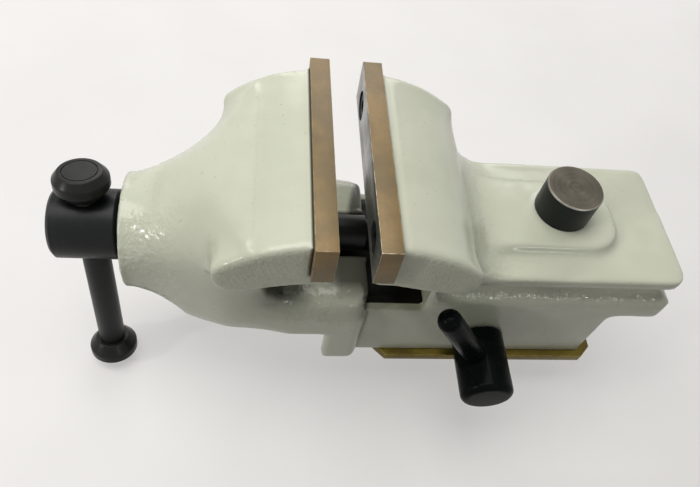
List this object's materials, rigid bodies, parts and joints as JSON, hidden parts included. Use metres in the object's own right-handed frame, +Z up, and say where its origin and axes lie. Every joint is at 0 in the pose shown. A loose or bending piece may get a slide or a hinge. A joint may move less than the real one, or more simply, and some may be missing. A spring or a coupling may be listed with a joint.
{
  "type": "watchmaker vise",
  "caption": "Small bench vise with steel-plated jaws on a slide, a front spindle with a sliding tommy bar, a round rear anvil and a swivelling base locked by a lever.",
  "frame": {"origin": "on the swivel axis, at the underside of the base plate, in the mouth of the bench bolt's tapped hole", "axes": "+X along the slide towards the rear and the anvil, +Y to the side away from the clamp lever, +Z up"},
  "size_m": [0.1677, 0.0697, 0.0871],
  "materials": {
    "enamel": "gloss enamel over an iron casting",
    "jaw_plate_steel": "hardened steel, tempered brown, ground grip face",
    "black_oxide": "black oxide, satin",
    "bright_steel": "turned steel",
    "base_brass": "satin, a little tarnished",
    "bush_bronze": "turned bronze"
  },
  "bodies": {
    "base": {"base_plate": "base_brass", "swivel_post": "bright_steel", "post_screws": "bright_steel"},
    "rear_jaw": {"rear_jaw_body": "enamel", "rear_jaw_plate": "jaw_plate_steel", "rear_plate_screws": "black_oxide", "anvil": "black_oxide", "spindle_nut": "bush_bronze", "nut_screws": "bright_steel"},
    "clamp_shoe": {"clamp_shoe": "base_brass"},
    "clamp_screw": {"clamp_screw": "black_oxide", "clamp_lever": "black_oxide"},
    "front_jaw": {"front_jaw_body": "enamel", "front_jaw_plate": "jaw_plate_steel", "front_plate_screws": "black_oxide", "slide_bar": "black_oxide", "slide_bar_screws": "bright_steel", "spindle_bush": "bush_bronze"},
    "spindle": {"spindle": "black_oxide", "thrust_washer": "black_oxide", "retaining_collar": "black_oxide", "collar_pin": "bright_steel"},
    "tommy_bar": {"tommy_bar": "black_oxide", "upper_knob": "black_oxide", "lower_knob": "black_oxide"}
  },
  "joints": [
    {"name": "swivel", "type": "hinge", "parent": "base", "child": "rear_jaw", "pos_m": [0, 0, 0], "axis": [0, 0, 1], "continuous": true},
    {"name": "jaw_slide", "type": "slide", "parent": "rear_jaw", "child": "front_jaw", "axis": [1, 0, 0], "range_m": [-0.0363, 0.0086]},
    {"name": "spindle_turn", "type": "hinge", "parent": "front_jaw", "child": "spindle", "pos_m": [-0.1, 0, 0.034], "axis": [1, 0, 0], "range_deg": [-4360, 1036]},
    {"name": "tommy_slide", "type": "slide", "parent": "spindle", "child": "tommy_bar", "axis": [0, 0.225, 0.9744], "range_m": [0, 0.0358]},
    {"name": "clamp_feed", "type": "slide", "parent": "rear_jaw", "child": "clamp_shoe", "axis": [0, 1, 0], "range_m": [-0.00027, 0.000083]},
    {"name": "clamp_turn", "type": "hinge", "parent": "clamp_shoe", "child": "clamp_screw", "pos_m": [0, -0.02, 0.012], "axis": [0, 1, 0], "range_deg": [-65, 20]}
  ],
  "couplings": [
    {"joint": "spindle_turn", "follows": "jaw_slide", "rad_per_m": 2094.4},
    {"joint": "clamp_turn", "follows": "clamp_feed", "rad_per_m": 4188.8}
  ]
}
